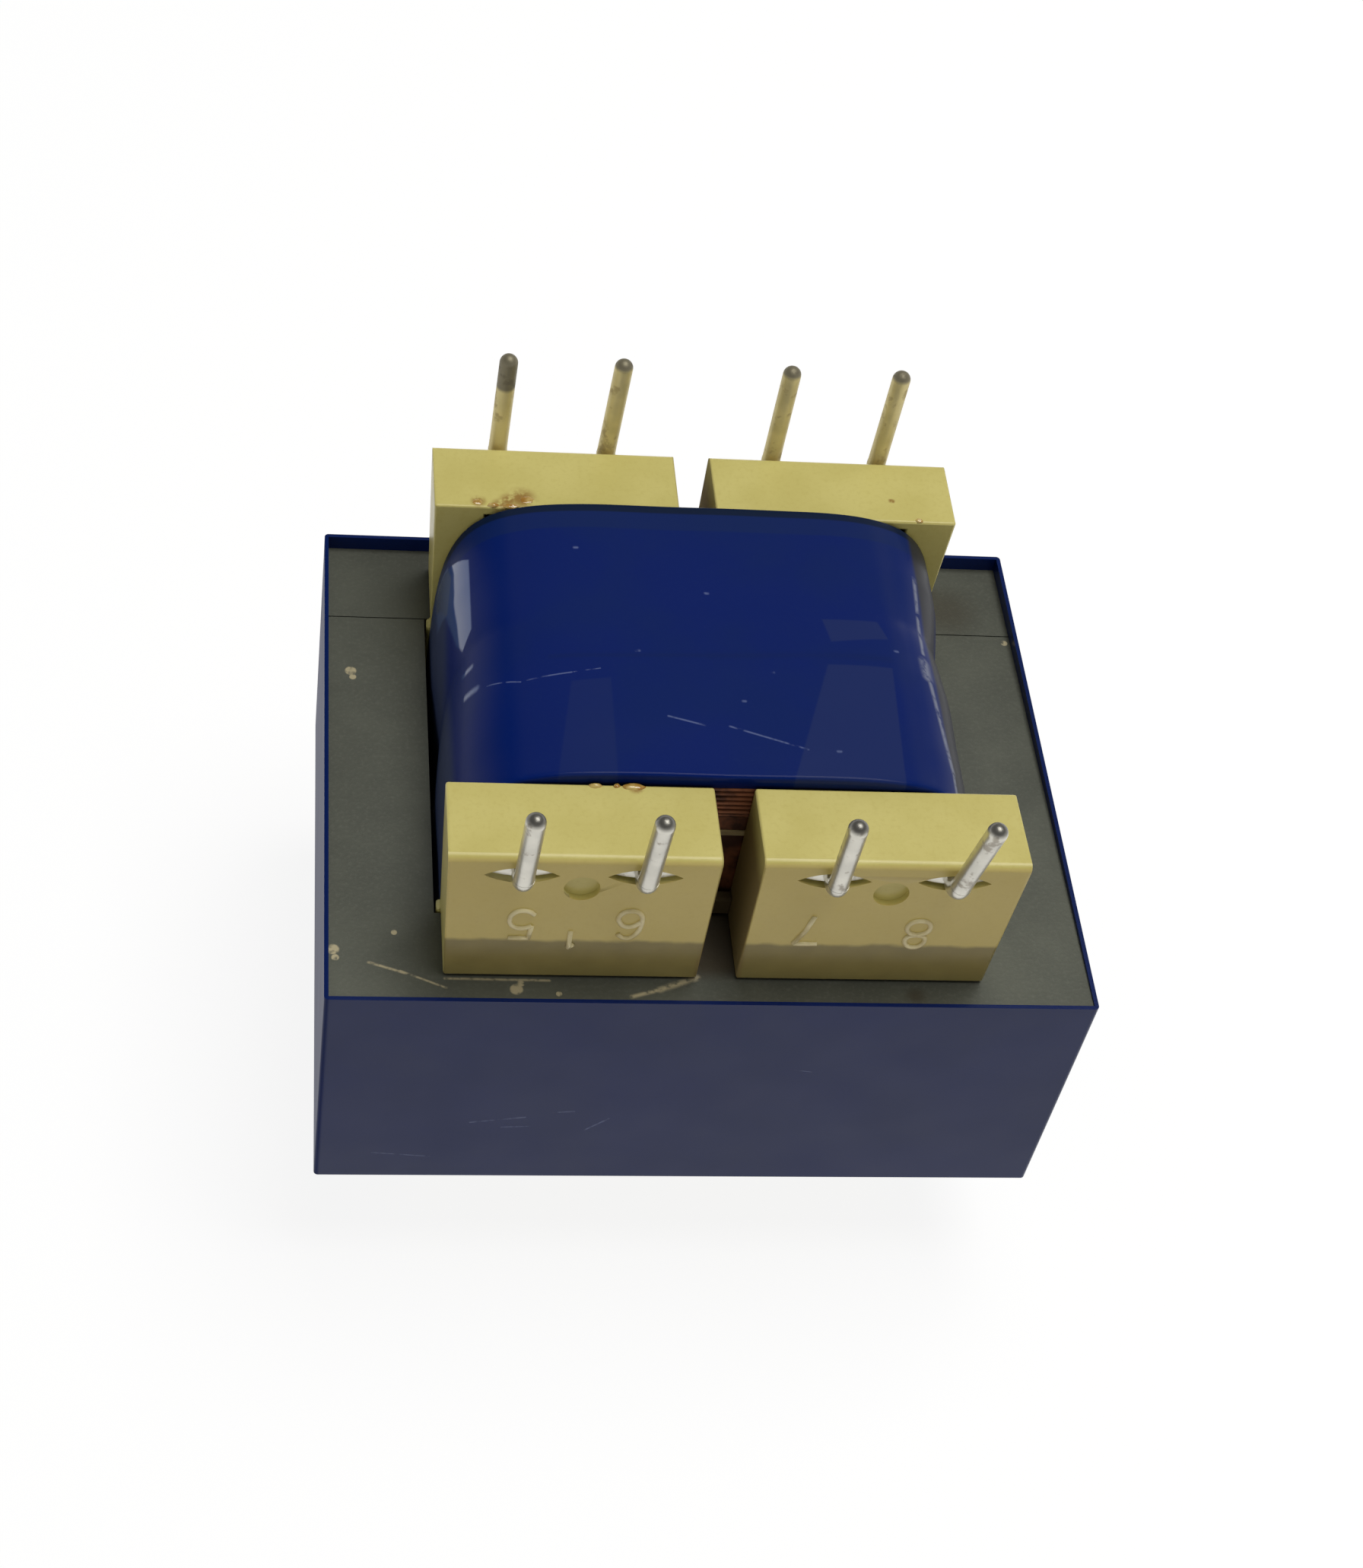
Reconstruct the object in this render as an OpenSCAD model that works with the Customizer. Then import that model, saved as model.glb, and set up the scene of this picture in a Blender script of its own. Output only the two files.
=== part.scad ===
// Small mains transformer for a printed board, standing on its winding with its pins up.
// A stack of E and I sheets passes through one moulded bobbin, whose terminal blocks
// overhang the core and carry eight bent pins. X is the width of the core, Y runs along
// the centre leg, and Z points the way the pins point.

/* [Core] */
// Width of one E sheet
core_w = 35; // [33:0.5:38]
// Width of the centre leg, which is twice an outer leg and twice a yoke
leg_w = 9.6; // [9:0.1:10.4]
// Length of the windows between the yokes
window_l = 18.6; // [17:0.2:22]
// Thickness of one sheet
sheet_t = 0.5; // [0.35:0.05:0.65]
// Number of sheet layers
sheets = 29; // [21:2:35]
// Butt gap between an E sheet and the I sheet that closes it
butt_gap = 0.06; // [0.02:0.02:0.16]

/* [Tape round the core] */
// Thickness of the tape round the rim of the core
rim_tape_t = 0.2; // [0.1:0.05:0.4]
// Width of that tape
rim_tape_w = 14.5; // [12:0.1:16]
// How far the tape stands above the core at the back
rim_rise = 0.8; // [0.2:0.1:1.4]
// How far the tape's foot lies above the core's lower face at the front
rim_foot = 0.1; // [0:0.05:0.5]

/* [Bobbin] */
// Height of the core above the feet of the flanges
foot_h = 7.5; // [6.5:0.1:9]
// Wall of the tube round the centre leg
tube_t = 0.8; // [0.6:0.05:1]
// Clearance between the tube and the centre leg
leg_gap = 0.1; // [0.05:0.01:0.2]
// Thickness of an end flange
flange_t = 0.6; // [0.5:0.05:0.9]
// Clearance between a flange and the core round it
flange_gap = 0.1; // [0.05:0.01:0.2]
// Radius of the flange corners at the feet
flange_r = 1.5; // [0.5:0.1:2.5]
// Height of the terminal blocks above the core
block_h = 8.5; // [7.5:0.1:10]
// Depth of a terminal block outside its flange
block_d = 3.65; // [3.2:0.05:4.4]
// How far the blocks stand out sideways beyond their flange, along their top
block_over = 0.15; // [0:0.05:0.9]
// How much narrower a block is at its foot
block_taper = 0.35; // [0:0.05:0.8]
// Gap between the two blocks of one end
block_space = 1.8; // [1.2:0.1:2.6]
// Clearance between the blocks and the core under them
block_lift = 0.1; // [0.05:0.05:0.4]
// Radius along the outer top edge of a block
block_r = 0.35; // [0.1:0.05:0.6]
// Height of the flange above the core between the blocks
sill_h = 1.2; // [1:0.1:3]
// Diameter of the round mark between two pins
mark_d = 1.6; // [1:0.1:2]
// Depth of that mark
mark_deep = 0.3; // [0.1:0.05:0.6]
// Depth of the mark's centre under the block's top
mark_drop = 2; // [1.9:0.1:3]

/* [Pins] */
// Diameter of the pin wire
pin_d = 0.9; // [0.7:0.05:1]
// Distance between the two pins of one block
pin_pitch = 5.35; // [5:0.05:5.6]
// Distance between the inner pins of the two blocks
pin_space = 8.3; // [8:0.1:8.8]
// Depth of the pin holes under the block's top
pin_drop = 1.15; // [1:0.05:1.6]
// Height of the pin tips above the blocks
pin_reach = 4.6; // [3.6:0.1:6]
// Bend radius of the pin on its centre line
pin_bend = 0.6; // [0.55:0.05:1]
// Outward lean of the free pins
pin_lean = 10; // [0:1:20]
// How much the wire swells round its bend
bend_swell = 0.02; // [0.01:0.01:0.03]
// Height above the blocks where that swelling has faded
settle_rise = 0.4; // [0.2:0.1:0.8]
// Clearance of a pin in its block
pin_gap = 0.02; // [0.01:0.01:0.05]
// Width of the flattened wings that lock a pin
wing_w = 2.9; // [2.2:0.1:3.1]
// Thickness of those wings
wing_t = 0.55; // [0.4:0.05:0.7]
// Length of those wings along the pin
wing_l = 1.6; // [1:0.1:2]
// How far the wings sit back from the block's face
wing_back = 0.2; // [0.05:0.05:0.4]
// Width of the lens-shaped mouth round a pin
mouth_w = 3.3; // [3.2:0.05:3.5]
// Room above and below the pin in that mouth
mouth_gap = 0.05; // [0.04:0.01:0.1]
// Depth of that mouth
mouth_deep = 0.6; // [0.3:0.05:0.9]

/* [Coil] */
// Clearance between the finished coil and the outer legs
coil_gap = 0.2; // [0.1:0.05:0.4]
// Height of the coil above the core
coil_rise = 8.95; // [8:0.05:9.5]
// Clearance under the coil, above the feet
coil_lift = 0.2; // [0.1:0.05:0.6]
// Clearance between the coil and each flange
coil_end = 0.1; // [0.05:0.01:0.3]
// Thickness of the primary at the side of the tube
primary_t = 3.5; // [3.4:0.1:4]
// Thickness of the insulation between the windings
barrier_t = 0.25; // [0.15:0.05:0.4]
// Thickness of the tape round the finished coil
coil_tape_t = 0.4; // [0.2:0.05:0.6]
// How far the coil's right flank is drawn in at its waist
waist_right = 0.8; // [0.2:0.1:1.2]
// How far its left flank is drawn in
waist_left = 0.3; // [0.1:0.1:1.2]
// Where the waist lies along the coil
waist_y = 1; // [-2:0.5:2]
// Half of the length that is drawn in
waist_l = 4; // [3:0.5:5]

/* [Leads] */
// Diameter of a lead-out wire
lead_d = 0.3; // [0.2:0.05:0.4]
// Width of the lead channel behind a pin
channel_w = 1.6; // [1.5:0.05:1.8]
// Depth of that channel
channel_deep = 1.4; // [1.3:0.05:1.6]
// Height of the channel's floor above the core
channel_foot = 0.9; // [0.7:0.1:1.3]
// Room above the pin in that channel
channel_head = 0.15; // [0.1:0.05:0.3]
// How far a pin's tail reaches into its channel
tail_l = 0.95; // [0.7:0.05:1]
// Radius of a solder joint
solder_r = 0.62; // [0.55:0.01:0.65]

/* [Hidden] */
$fn = 48;
// How far a cut runs out beyond what it cuts
cut_over = 1;

// Core
side_leg = leg_w / 2;
yoke_d = leg_w / 2;
core_d = window_l + 2 * yoke_d;
window_w = (core_w - leg_w) / 2 - side_leg;
core_h = sheets * sheet_t;
core_z = foot_h;
core_top = core_z + core_h;

// Bobbin
tube_x = leg_w / 2 + leg_gap + tube_t;
tube_low = core_z - leg_gap - tube_t;
tube_high = core_top + leg_gap + tube_t;
flange_out = window_l / 2 - flange_gap;
flange_in = flange_out - flange_t;
flange_x = leg_w / 2 + window_w - flange_gap;
block_out = flange_out + block_d;
block_near = block_space / 2;
block_far = flange_x + block_over;
block_low = core_top + block_lift;
block_top = core_top + block_h;

// Pins: numbered in a ring, 1 to 4 from right to left at the back, 5 to 8 left to right in front.
// pin_sways holds each one's tilt in degrees towards +X.
pin_z = block_top - pin_drop;
pin_near = pin_space / 2;
pin_far = pin_near + pin_pitch;
pin_xs = [pin_far, pin_near, -pin_near, -pin_far, -pin_far, -pin_near, pin_near, pin_far];
pin_sides = [1, 1, 1, 1, -1, -1, -1, -1];
pin_sways = [5, 4, 4.5, 2, 0, 0, -2, 4.5];
channel_low = core_top + channel_foot;
channel_end = flange_in + channel_deep;
tail_end = channel_end - tail_l;
bend_y = block_out + pin_bend * cos(pin_lean);
bend_z = pin_z + pin_bend * (1 - sin(pin_lean));
free_l = (block_top + pin_reach - bend_z - pin_d / 2) / cos(pin_lean);
settle_l = (block_top + settle_rise - bend_z) / cos(pin_lean);

// Coil: half widths and half heights run from the tube at share 0 to the tape's skin at share 1
coil_half = flange_in - coil_end;
coil_x = leg_w / 2 + window_w - coil_gap;
coil_z = core_z + core_h / 2;
coil_up = core_top + coil_rise - coil_z;
coil_down = coil_z - coil_lift;
build = coil_x - tube_x;
skin_share = 1;
secondary_share = 1 - coil_tape_t / build;
barrier_share = (primary_t + barrier_t) / build;
primary_share = primary_t / build;
skin_power = 5;
core_power = 9;
ring_points = 72;
step_points = 12;
layer_gap = 0.02;

// Lead-outs: the primary ends on the outer back pins, the secondary on the inner front pins
primary_x = pin_far - channel_w / 2 + lead_d / 2 + 2 * bend_swell;
primary_z = channel_low + lead_d;
secondary_z = pin_z - pin_d / 2 - 2 * lead_d;
lead_y = flange_in + 2 * lead_d;
root_l = 1;

function lerp(a, b, t) = a + (b - a) * t;
function sign_pow(v, p) = sign(v) * pow(abs(v), p);

// How much of the waist is felt at place y along the coil, from 0 to 1
function pinch(y) = abs(y - waist_y) < waist_l ? pow(cos(90 * (y - waist_y) / waist_l), 2) : 0;

// One point of a winding layer's outline, in x and z
function layer_point(share, y, a) =
    let (power = 2 / lerp(core_power, skin_power, share))
    let (waist = abs(a - 180) < 90 ? waist_left : waist_right)
    let (half_x = lerp(tube_x, coil_x - waist * pinch(y), share))
    let (reach = a < 180 ? coil_up : coil_down)
    let (core_reach = a < 180 ? tube_high - coil_z : coil_z - tube_low)
    [half_x * sign_pow(cos(a), power),
     coil_z + lerp(core_reach, reach, share) * sign_pow(sin(a), power)];

function ring_angle(i) = i * 360 / ring_points;
function straight_ring(share) =
    [for (i = [0:ring_points - 1]) layer_point(share, -coil_half, ring_angle(i))];

// Draws an outline given in x and z, and extrudes it along y
module along_y(y0, y1) {
    translate([0, y1, 0]) rotate([90, 0, 0]) linear_extrude(y1 - y0) children();
}

// Straight round wire between two points
module wire(from, to, d) {
    run = to - from;
    translate(from) rotate([0, acos(run[2] / norm(run)), atan2(run[1], run[0])])
        cylinder(d = d, h = norm(run));
}

// Lens of width w and height h, made of two arcs
module lens(w, h) {
    r = (w * w + h * h) / (4 * h);
    intersection() {
        translate([0, h / 2 - r]) circle(r, $fn = 96);
        translate([0, r - h / 2]) circle(r, $fn = 96);
    }
}

// ---- core ----

// E sheet with its yoke at the front
module e_outline() {
    difference() {
        translate([-core_w / 2, -core_d / 2]) square([core_w, core_d - yoke_d - butt_gap]);
        for (side = [-1, 1])
            translate([side * (leg_w + window_w) / 2 - window_w / 2, -window_l / 2])
                square([window_w, window_l + yoke_d]);
    }
}

// I sheet at the back
module i_outline() {
    translate([-core_w / 2, window_l / 2]) square([core_w, yoke_d]);
}

// Every second layer of the stack, from layer first
module layers(first) {
    for (k = [first:2:sheets - 1])
        translate([0, 0, core_z + k * sheet_t]) linear_extrude(sheet_t) children();
}

module front_e_laminations() color("dimgray") layers(0) e_outline();
module back_i_laminations() color("slategray") layers(0) i_outline();
module back_e_laminations() color("gray") layers(1) mirror([0, 1]) e_outline();
module front_i_laminations() color("darkslategray") layers(1) mirror([0, 1]) i_outline();

// Rim of the core grown by the tape, with the tape's thickness as its corner radius
module rim_outline() {
    square([core_w + 2 * rim_tape_t, core_d], center = true);
    square([core_w, core_d + 2 * rim_tape_t], center = true);
    for (x = [-1, 1], y = [-1, 1]) translate([x * core_w / 2, y * core_d / 2]) circle(rim_tape_t);
}

// Strip of tape round the rim, laid with a slope so that it stands proud at the back
module core_tape() {
    slope = atan((rim_rise + core_h - rim_tape_w - rim_foot) / core_d);
    reach = 2 * core_w;
    color("midnightblue") difference() {
        linear_extrude(core_top + 2 * rim_rise) rim_outline();
        translate([0, 0, -cut_over]) linear_extrude(core_top + 2 * rim_rise + 2 * cut_over)
            square([core_w, core_d], center = true);
        translate([0, -core_d / 2, core_z + rim_foot]) rotate([slope, 0, 0])
            translate([-reach, -reach, -reach]) cube([2 * reach, 3 * reach, reach]);
        translate([0, -core_d / 2, core_z + rim_foot + rim_tape_w]) rotate([slope, 0, 0])
            translate([-reach, -reach, 0]) cube([2 * reach, 3 * reach, reach]);
    }
}

// ---- bobbin ----

// Flange plate, seen along the coil, from its foot to the sill between the blocks
module flange_outline() {
    flat_x = flange_x - flange_r;
    translate([-flange_x, flange_r]) square([2 * flange_x, block_low - flange_r]);
    translate([-flat_x, 0]) square([2 * flat_x, core_top + sill_h]);
    for (side = [-1, 1]) translate([side * flat_x, flange_r]) circle(flange_r);
}

// Right-hand block seen from its outer face, wider at the top
module block_outline() {
    polygon([[block_near, block_low], [block_far - block_taper, block_low],
             [block_far, block_top], [block_near, block_top]]);
}

// The same block seen from its side, with its outer top edge rounded
module block_side() {
    translate([flange_in, block_low]) square([block_out - block_r - flange_in, block_top - block_low]);
    translate([flange_in, block_low]) square([block_out - flange_in, block_h - block_lift - block_r]);
    translate([block_out - block_r, block_top - block_r]) circle(block_r);
}

module terminal_block() {
    intersection() {
        along_y(flange_in, block_out) block_outline();
        rotate([90, 0, 90]) linear_extrude(core_w) block_side();
    }
}

// Everything that is cut for one pin of the back blocks: mouth, wing pocket, hole and lead channel
module pin_cut(x) {
    translate([x, 0, 0]) {
        along_y(block_out - mouth_deep, block_out + cut_over)
            translate([0, pin_z]) lens(mouth_w, pin_d + 2 * mouth_gap);
        along_y(block_out - wing_back - wing_l - pin_gap, block_out)
            translate([0, pin_z]) lens(wing_w + 2 * pin_gap, wing_t + 2 * pin_gap);
        along_y(flange_in, block_out + cut_over) translate([0, pin_z]) circle(d = pin_d + 2 * pin_gap);
        translate([-channel_w / 2, flange_in - cut_over, channel_low])
            cube([channel_w, channel_deep + cut_over, pin_z + pin_d / 2 + channel_head - channel_low]);
    }
}

// Half of the bobbin, the end towards +Y
module bobbin_end() {
    difference() {
        union() {
            along_y(flange_in, flange_out) flange_outline();
            terminal_block();
            mirror([1, 0, 0]) terminal_block();
        }
        for (x = [-pin_far, -pin_near, pin_near, pin_far]) pin_cut(x);
        for (side = [-1, 1])
            along_y(block_out - mark_deep, block_out + cut_over)
                translate([side * (pin_near + pin_far) / 2, block_top - mark_drop]) circle(d = mark_d);
    }
}

module bobbin() {
    color("khaki") difference() {
        union() {
            bobbin_end();
            mirror([0, 1, 0]) bobbin_end();
            translate([-tube_x, -flange_out, tube_low])
                cube([2 * tube_x, 2 * flange_out, tube_high - tube_low]);
        }
        translate([-leg_w / 2 - leg_gap, -window_l, core_z - leg_gap])
            cube([leg_w + 2 * leg_gap, 2 * window_l, core_h + 2 * leg_gap]);
    }
}

// ---- pins ----

// Half of the pin's section through its axis, from the bend to the rounded tip
module free_pin_outline() {
    polygon([[0, 0], [(pin_d + bend_swell) / 2, 0],
             [pin_d / 2, settle_l], [pin_d / 2, free_l], [0, free_l]]);
    intersection() {
        translate([0, free_l]) circle(d = pin_d);
        translate([0, free_l]) square(pin_d);
    }
}

// Bent and free part of a pin, with its tail's axis at height 0
module pin_hook() {
    overlap = 5;
    translate([0, block_out, pin_bend]) rotate([90, 0, 90]) rotate([0, 0, -90 - overlap])
        rotate_extrude(angle = 90 - pin_lean + 2 * overlap)
            translate([pin_bend, 0]) circle(d = pin_d + 2 * bend_swell);
    translate([0, bend_y, bend_z - pin_z]) rotate([-pin_lean, 0, 0])
        rotate_extrude() free_pin_outline();
}

// Pin n as it would stand in the back row, from its tail in the channel to its rounded tip
module back_pin(n) {
    translate([pin_xs[n - 1], 0, pin_z]) {
        along_y(tail_end, block_out) circle(d = pin_d);
        along_y(block_out - wing_back - wing_l, block_out - wing_back) lens(wing_w, wing_t);
        rotate([0, pin_sways[n - 1], 0]) pin_hook();
    }
}

module terminal_pin(n) color("silver") mirror([0, pin_sides[n - 1] > 0 ? 0 : 1, 0]) back_pin(n);

// ---- coil ----

// Layer of the coil between two shares, straight along its whole length
module straight_layer(inner, outer) {
    along_y(-coil_half, coil_half) difference() {
        polygon(straight_ring(outer));
        polygon(straight_ring(inner));
    }
}

// Solid with the waisted surface of one share
module waisted_solid(share) {
    ys = [for (j = [0:step_points]) lerp(-coil_half, coil_half, j / step_points)];
    points = [for (y = ys, i = [0:ring_points - 1])
              let (p = layer_point(share, y, ring_angle(i))) [p[0], y, p[1]]];
    n = ring_points;
    sides = [for (j = [0:step_points - 1], i = [0:n - 1])
             let (a = j * n + i, b = j * n + (i + 1) % n) each [[a, b, b + n], [a, b + n, a + n]]];
    ends = [[for (i = [n - 1:-1:0]) i], [for (i = [0:n - 1]) step_points * n + i]];
    polyhedron(points, concat(sides, ends));
}

// Lead-out of one winding end: out of the coil, into the channel and up to the pin's tail
module lead(x0, z0, x1) {
    along_y(coil_half - root_l, lead_y + lead_d)
        translate([x0, z0]) circle(d = lead_d + 2 * bend_swell);
    wire([x0, lead_y, z0], [x1, lead_y, pin_z - pin_d / 2 - layer_gap], lead_d);
}

module primary_winding() {
    color("peru") {
        along_y(-coil_half, coil_half) difference() {
            polygon(straight_ring(primary_share));
            translate([-tube_x - layer_gap, tube_low - layer_gap])
                square([2 * (tube_x + layer_gap), tube_high - tube_low + 2 * layer_gap]);
        }
        for (n = [1, 4]) pin_lead(n);
    }
}

module winding_barrier() color("lightyellow") straight_layer(primary_share, barrier_share);

module secondary_winding() {
    color("sienna") {
        difference() {
            waisted_solid(secondary_share);
            along_y(-coil_half - cut_over, coil_half + cut_over) polygon(straight_ring(barrier_share));
        }
        mirror([0, 1, 0]) for (n = [6, 7]) pin_lead(n);
    }
}

module coil_tape() {
    color("navy") difference() {
        waisted_solid(skin_share);
        waisted_solid(secondary_share);
    }
}

// The lead-out that ends at pin n, placed as for a pin of the back row
module pin_lead(n) {
    x = pin_xs[n - 1];
    if (pin_sides[n - 1] > 0) lead(sign(x) * primary_x, primary_z, x);
    else lead(x, secondary_z, x);
}

// Bead of solder that joins a pin's tail to its lead-out
module solder_bead(n) {
    x = pin_xs[n - 1];
    color("lightsteelblue") mirror([0, pin_sides[n - 1] > 0 ? 0 : 1, 0]) difference() {
        translate([x, lead_y, pin_z - pin_d / 2 + lead_d / 2]) sphere(solder_r);
        back_pin(n);
        pin_lead(n);
    }
}

front_e_laminations();
back_i_laminations();
back_e_laminations();
front_i_laminations();
core_tape();
bobbin();
primary_winding();
winding_barrier();
secondary_winding();
coil_tape();
terminal_pin(1);  // terminal_pin_1
terminal_pin(2);  // terminal_pin_2
terminal_pin(3);  // terminal_pin_3
terminal_pin(4);  // terminal_pin_4
terminal_pin(5);  // terminal_pin_5
terminal_pin(6);  // terminal_pin_6
terminal_pin(7);  // terminal_pin_7
terminal_pin(8);  // terminal_pin_8
solder_bead(1);  // solder_joint_1
solder_bead(4);  // solder_joint_4
solder_bead(6);  // solder_joint_6
solder_bead(7);  // solder_joint_7
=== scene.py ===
# %% [markdown]
# # A small mains transformer, lying with its pins up
# The solids come ready made from the CAD model and act as a fixed frame. This lesson gives
# them their finish, and adds what solids leave out: the tape pulled tight round the coil,
# the turns of wire at its ends, the moulded pin numbers, softened edges and traces of flux.
# Every length below is written in millimetres and turned into metres by one factor.

# %% Load the frame
import math
import random
import bpy
import bmesh
from mathutils import Euler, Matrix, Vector, noise


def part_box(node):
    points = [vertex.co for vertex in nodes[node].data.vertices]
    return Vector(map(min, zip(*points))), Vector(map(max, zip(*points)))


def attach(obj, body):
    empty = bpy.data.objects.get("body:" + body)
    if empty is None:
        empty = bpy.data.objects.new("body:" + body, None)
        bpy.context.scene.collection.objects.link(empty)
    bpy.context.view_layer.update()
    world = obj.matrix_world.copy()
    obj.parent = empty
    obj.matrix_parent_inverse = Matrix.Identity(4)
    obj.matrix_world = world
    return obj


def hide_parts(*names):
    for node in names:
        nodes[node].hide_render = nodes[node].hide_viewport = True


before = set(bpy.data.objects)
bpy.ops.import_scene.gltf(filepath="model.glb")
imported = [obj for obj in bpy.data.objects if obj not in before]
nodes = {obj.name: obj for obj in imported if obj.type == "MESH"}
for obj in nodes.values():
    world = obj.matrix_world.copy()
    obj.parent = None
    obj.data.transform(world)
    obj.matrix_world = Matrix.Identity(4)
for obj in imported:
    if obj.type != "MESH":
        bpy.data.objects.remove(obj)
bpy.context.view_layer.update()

MM = 0.001

# %% [markdown]
# ## Sizes to work from
# A piece that is added has to fit the solids, so its place is read from them and not typed
# in. Only what no node's box can tell is written as a number.

# %% Read the sizes of the solids
def box_mm(node):
    """The lowest and highest corner of a solid's box, in millimetres."""
    low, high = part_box(node)
    return Vector(low) / MM, Vector(high) / MM

steel_low, steel_high = box_mm("front_e_laminations")
bobbin_high = box_mm("bobbin")[1]
wrap_low, wrap_high = box_mm("coil_tape")
core_top = steel_high.z
block_top = bobbin_high.z
block_face = bobbin_high.y
coil_half = wrap_high.y
pin_top = box_mm("terminal_pin_6")[1].z
print("core top", round(core_top, 2), "block top", round(block_top, 2), "pin top", round(pin_top, 2))
print("half the coil's length", round(coil_half, 2))

# %% [markdown]
# ## A small language for materials
# A material is a graph of nodes, and writing one link by link hides what it does. Here one
# class wraps a socket, so that sums read as sums: `1 - mask` adds its own Math node.
# A second class holds one material and adds any node by one method, settings first.

# %% Numbers that travel through a material
class Wire:
    """One output of a node. Sums and products with it add Math nodes."""
    def __init__(self, finish, socket):
        self.finish = finish
        self.socket = socket

    def work_out(self, operation, *values):
        """Adds one Math node. Each value is a number or another Wire."""
        return self.finish.add("ShaderNodeMath", {"operation": operation}, dict(enumerate(values)))

    def __add__(self, other):
        return self.work_out("ADD", self, other)

    def __radd__(self, other):
        return self.work_out("ADD", other, self)

    def __sub__(self, other):
        return self.work_out("SUBTRACT", self, other)

    def __rsub__(self, other):
        return self.work_out("SUBTRACT", other, self)

    def __mul__(self, other):
        return self.work_out("MULTIPLY", self, other)

    def __rmul__(self, other):
        return self.work_out("MULTIPLY", other, self)

    def __abs__(self):
        return self.work_out("ABSOLUTE", self)

    def __or__(self, other):
        """The larger of the two: inside either mask."""
        return self.work_out("MAXIMUM", self, other)

    def __ror__(self, other):
        return self.work_out("MAXIMUM", other, self)

    def __and__(self, other):
        """The smaller of the two: inside both masks."""
        return self.work_out("MINIMUM", self, other)

    def __rand__(self, other):
        return self.work_out("MINIMUM", other, self)

    def fade(self, start, end):
        """Goes smoothly from 0 to 1 while the number goes from start to end."""
        return self.finish.add("ShaderNodeMapRange", {"interpolation_type": "SMOOTHSTEP"},
                               {"Value": self, "From Min": start, "From Max": end})

print("a Wire carries one number through a material")

# %% One material and its nodes
class Finish:
    """One material. Settings are numbers that hold all over the surface."""
    def __init__(self, name, **settings):
        self.material = bpy.data.materials.new(name)
        self.material.use_nodes = True
        self.tree = self.material.node_tree
        self.shader = self.tree.nodes["Principled BSDF"]
        for socket, value in settings.items():
            self.shader.inputs[socket.replace("_", " ")].default_value = value
        place = self.tree.nodes.new("ShaderNodeTexCoord")
        self.place = self.vector("SCALE", Wire(self, place.outputs["Object"]), scale=1 / MM)
        apart = self.tree.nodes.new("ShaderNodeSeparateXYZ")
        self.tree.links.new(self.place.socket, apart.inputs[0])
        self.x, self.y, self.z = (Wire(self, out) for out in apart.outputs)

    def join(self, value, socket):
        """Links a Wire to a socket, or writes a plain value into it."""
        if isinstance(value, Wire):
            self.tree.links.new(value.socket, socket)
        elif isinstance(value, (tuple, list)) and socket.type == "RGBA" and len(value) == 3:
            socket.default_value = (*value, 1)
        else:
            socket.default_value = value

    def add(self, kind, settings=None, inputs=None, output=0):
        """Adds a node of any kind: its settings first, then the values or links of its sockets."""
        node = self.tree.nodes.new(kind)
        for name, value in (settings or {}).items():
            setattr(node, name, value)
        for name, value in (inputs or {}).items():
            self.join(value, node.inputs[name])
        return Wire(self, node.outputs[output])

    def vector(self, operation, first, second=None, scale=None):
        """Adds one Vector Math node. Some operations give a number, the others a vector."""
        inputs = {0: first}
        if second is not None:
            inputs[1] = second
        if scale is not None:
            inputs["Scale"] = scale
        output = "Value" if operation in ("DISTANCE", "DOT_PRODUCT") else "Vector"
        return self.add("ShaderNodeVectorMath", {"operation": operation}, inputs, output)

    def mix(self, mask, first, second):
        """The first colour where the mask is 0, the second where it is 1."""
        return self.add("ShaderNodeMix", {"data_type": "RGBA"}, {0: mask, 6: first, 7: second}, 2)

    def noise(self, scale, detail=3.0, roughness=0.5):
        """Soft clouds from 0 to 1, with about scale of them to a millimetre."""
        return self.add("ShaderNodeTexNoise", None,
                        {"Vector": self.place, "Scale": scale, "Detail": detail, "Roughness": roughness})

    def spot(self, centre, radius, soft=0.3):
        """1 inside a ball round the centre, fading out at its rim."""
        return self.vector("DISTANCE", self.place, centre).fade(radius, radius * (1 - soft))

    def stroke(self, start, end, width, where=None):
        """1 along a straight mark from start to end, for scratches and scuffs."""
        run = Vector(end) - Vector(start)
        along = self.vector("SUBTRACT", where or self.place, start)
        share = self.vector("DOT_PRODUCT", along, tuple(run / run.length_squared))
        share = (share | 0.0) & 1.0
        nearest = self.vector("SCALE", tuple(run), scale=share)
        return self.vector("DISTANCE", along, nearest).fade(width / 2, 0)

    def plan_stroke(self, start, end, width):
        """The same mark as seen from above, at any height."""
        flat = self.vector("MULTIPLY", self.place, (1, 1, 0))
        return self.stroke((*start, 0), (*end, 0), width, flat)

    def patch(self, corners, soft=0.12):
        """1 inside a convex patch seen from above, with its corners in turning order."""
        inside = None
        for (ax, ay), (bx, by) in zip(corners, corners[1:] + corners[:1]):
            length = math.hypot(bx - ax, by - ay)
            nx, ny = (ay - by) / length, (bx - ax) / length
            side = (self.x * nx + self.y * ny - (ax * nx + ay * ny)).fade(0, soft)
            inside = side if inside is None else inside & side
        return inside

    def set(self, **links):
        """Links or sets sockets of the shader, with _ for each blank in a socket's name."""
        for socket, value in links.items():
            self.join(value, self.shader.inputs[socket.replace("_", " ")])

    def relief(self, height, depth, strength=1.0):
        """Bends the shading by a height from 0 to 1 that is depth millimetres high."""
        self.set(Normal=self.add("ShaderNodeBump", None,
                                 {"Height": height, "Distance": depth * MM, "Strength": strength}))

def any_of(masks):
    """The strongest of several masks."""
    total = masks[0]
    for mask in masks[1:]:
        total = total | mask
    return total

print("a Finish holds one material")

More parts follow.
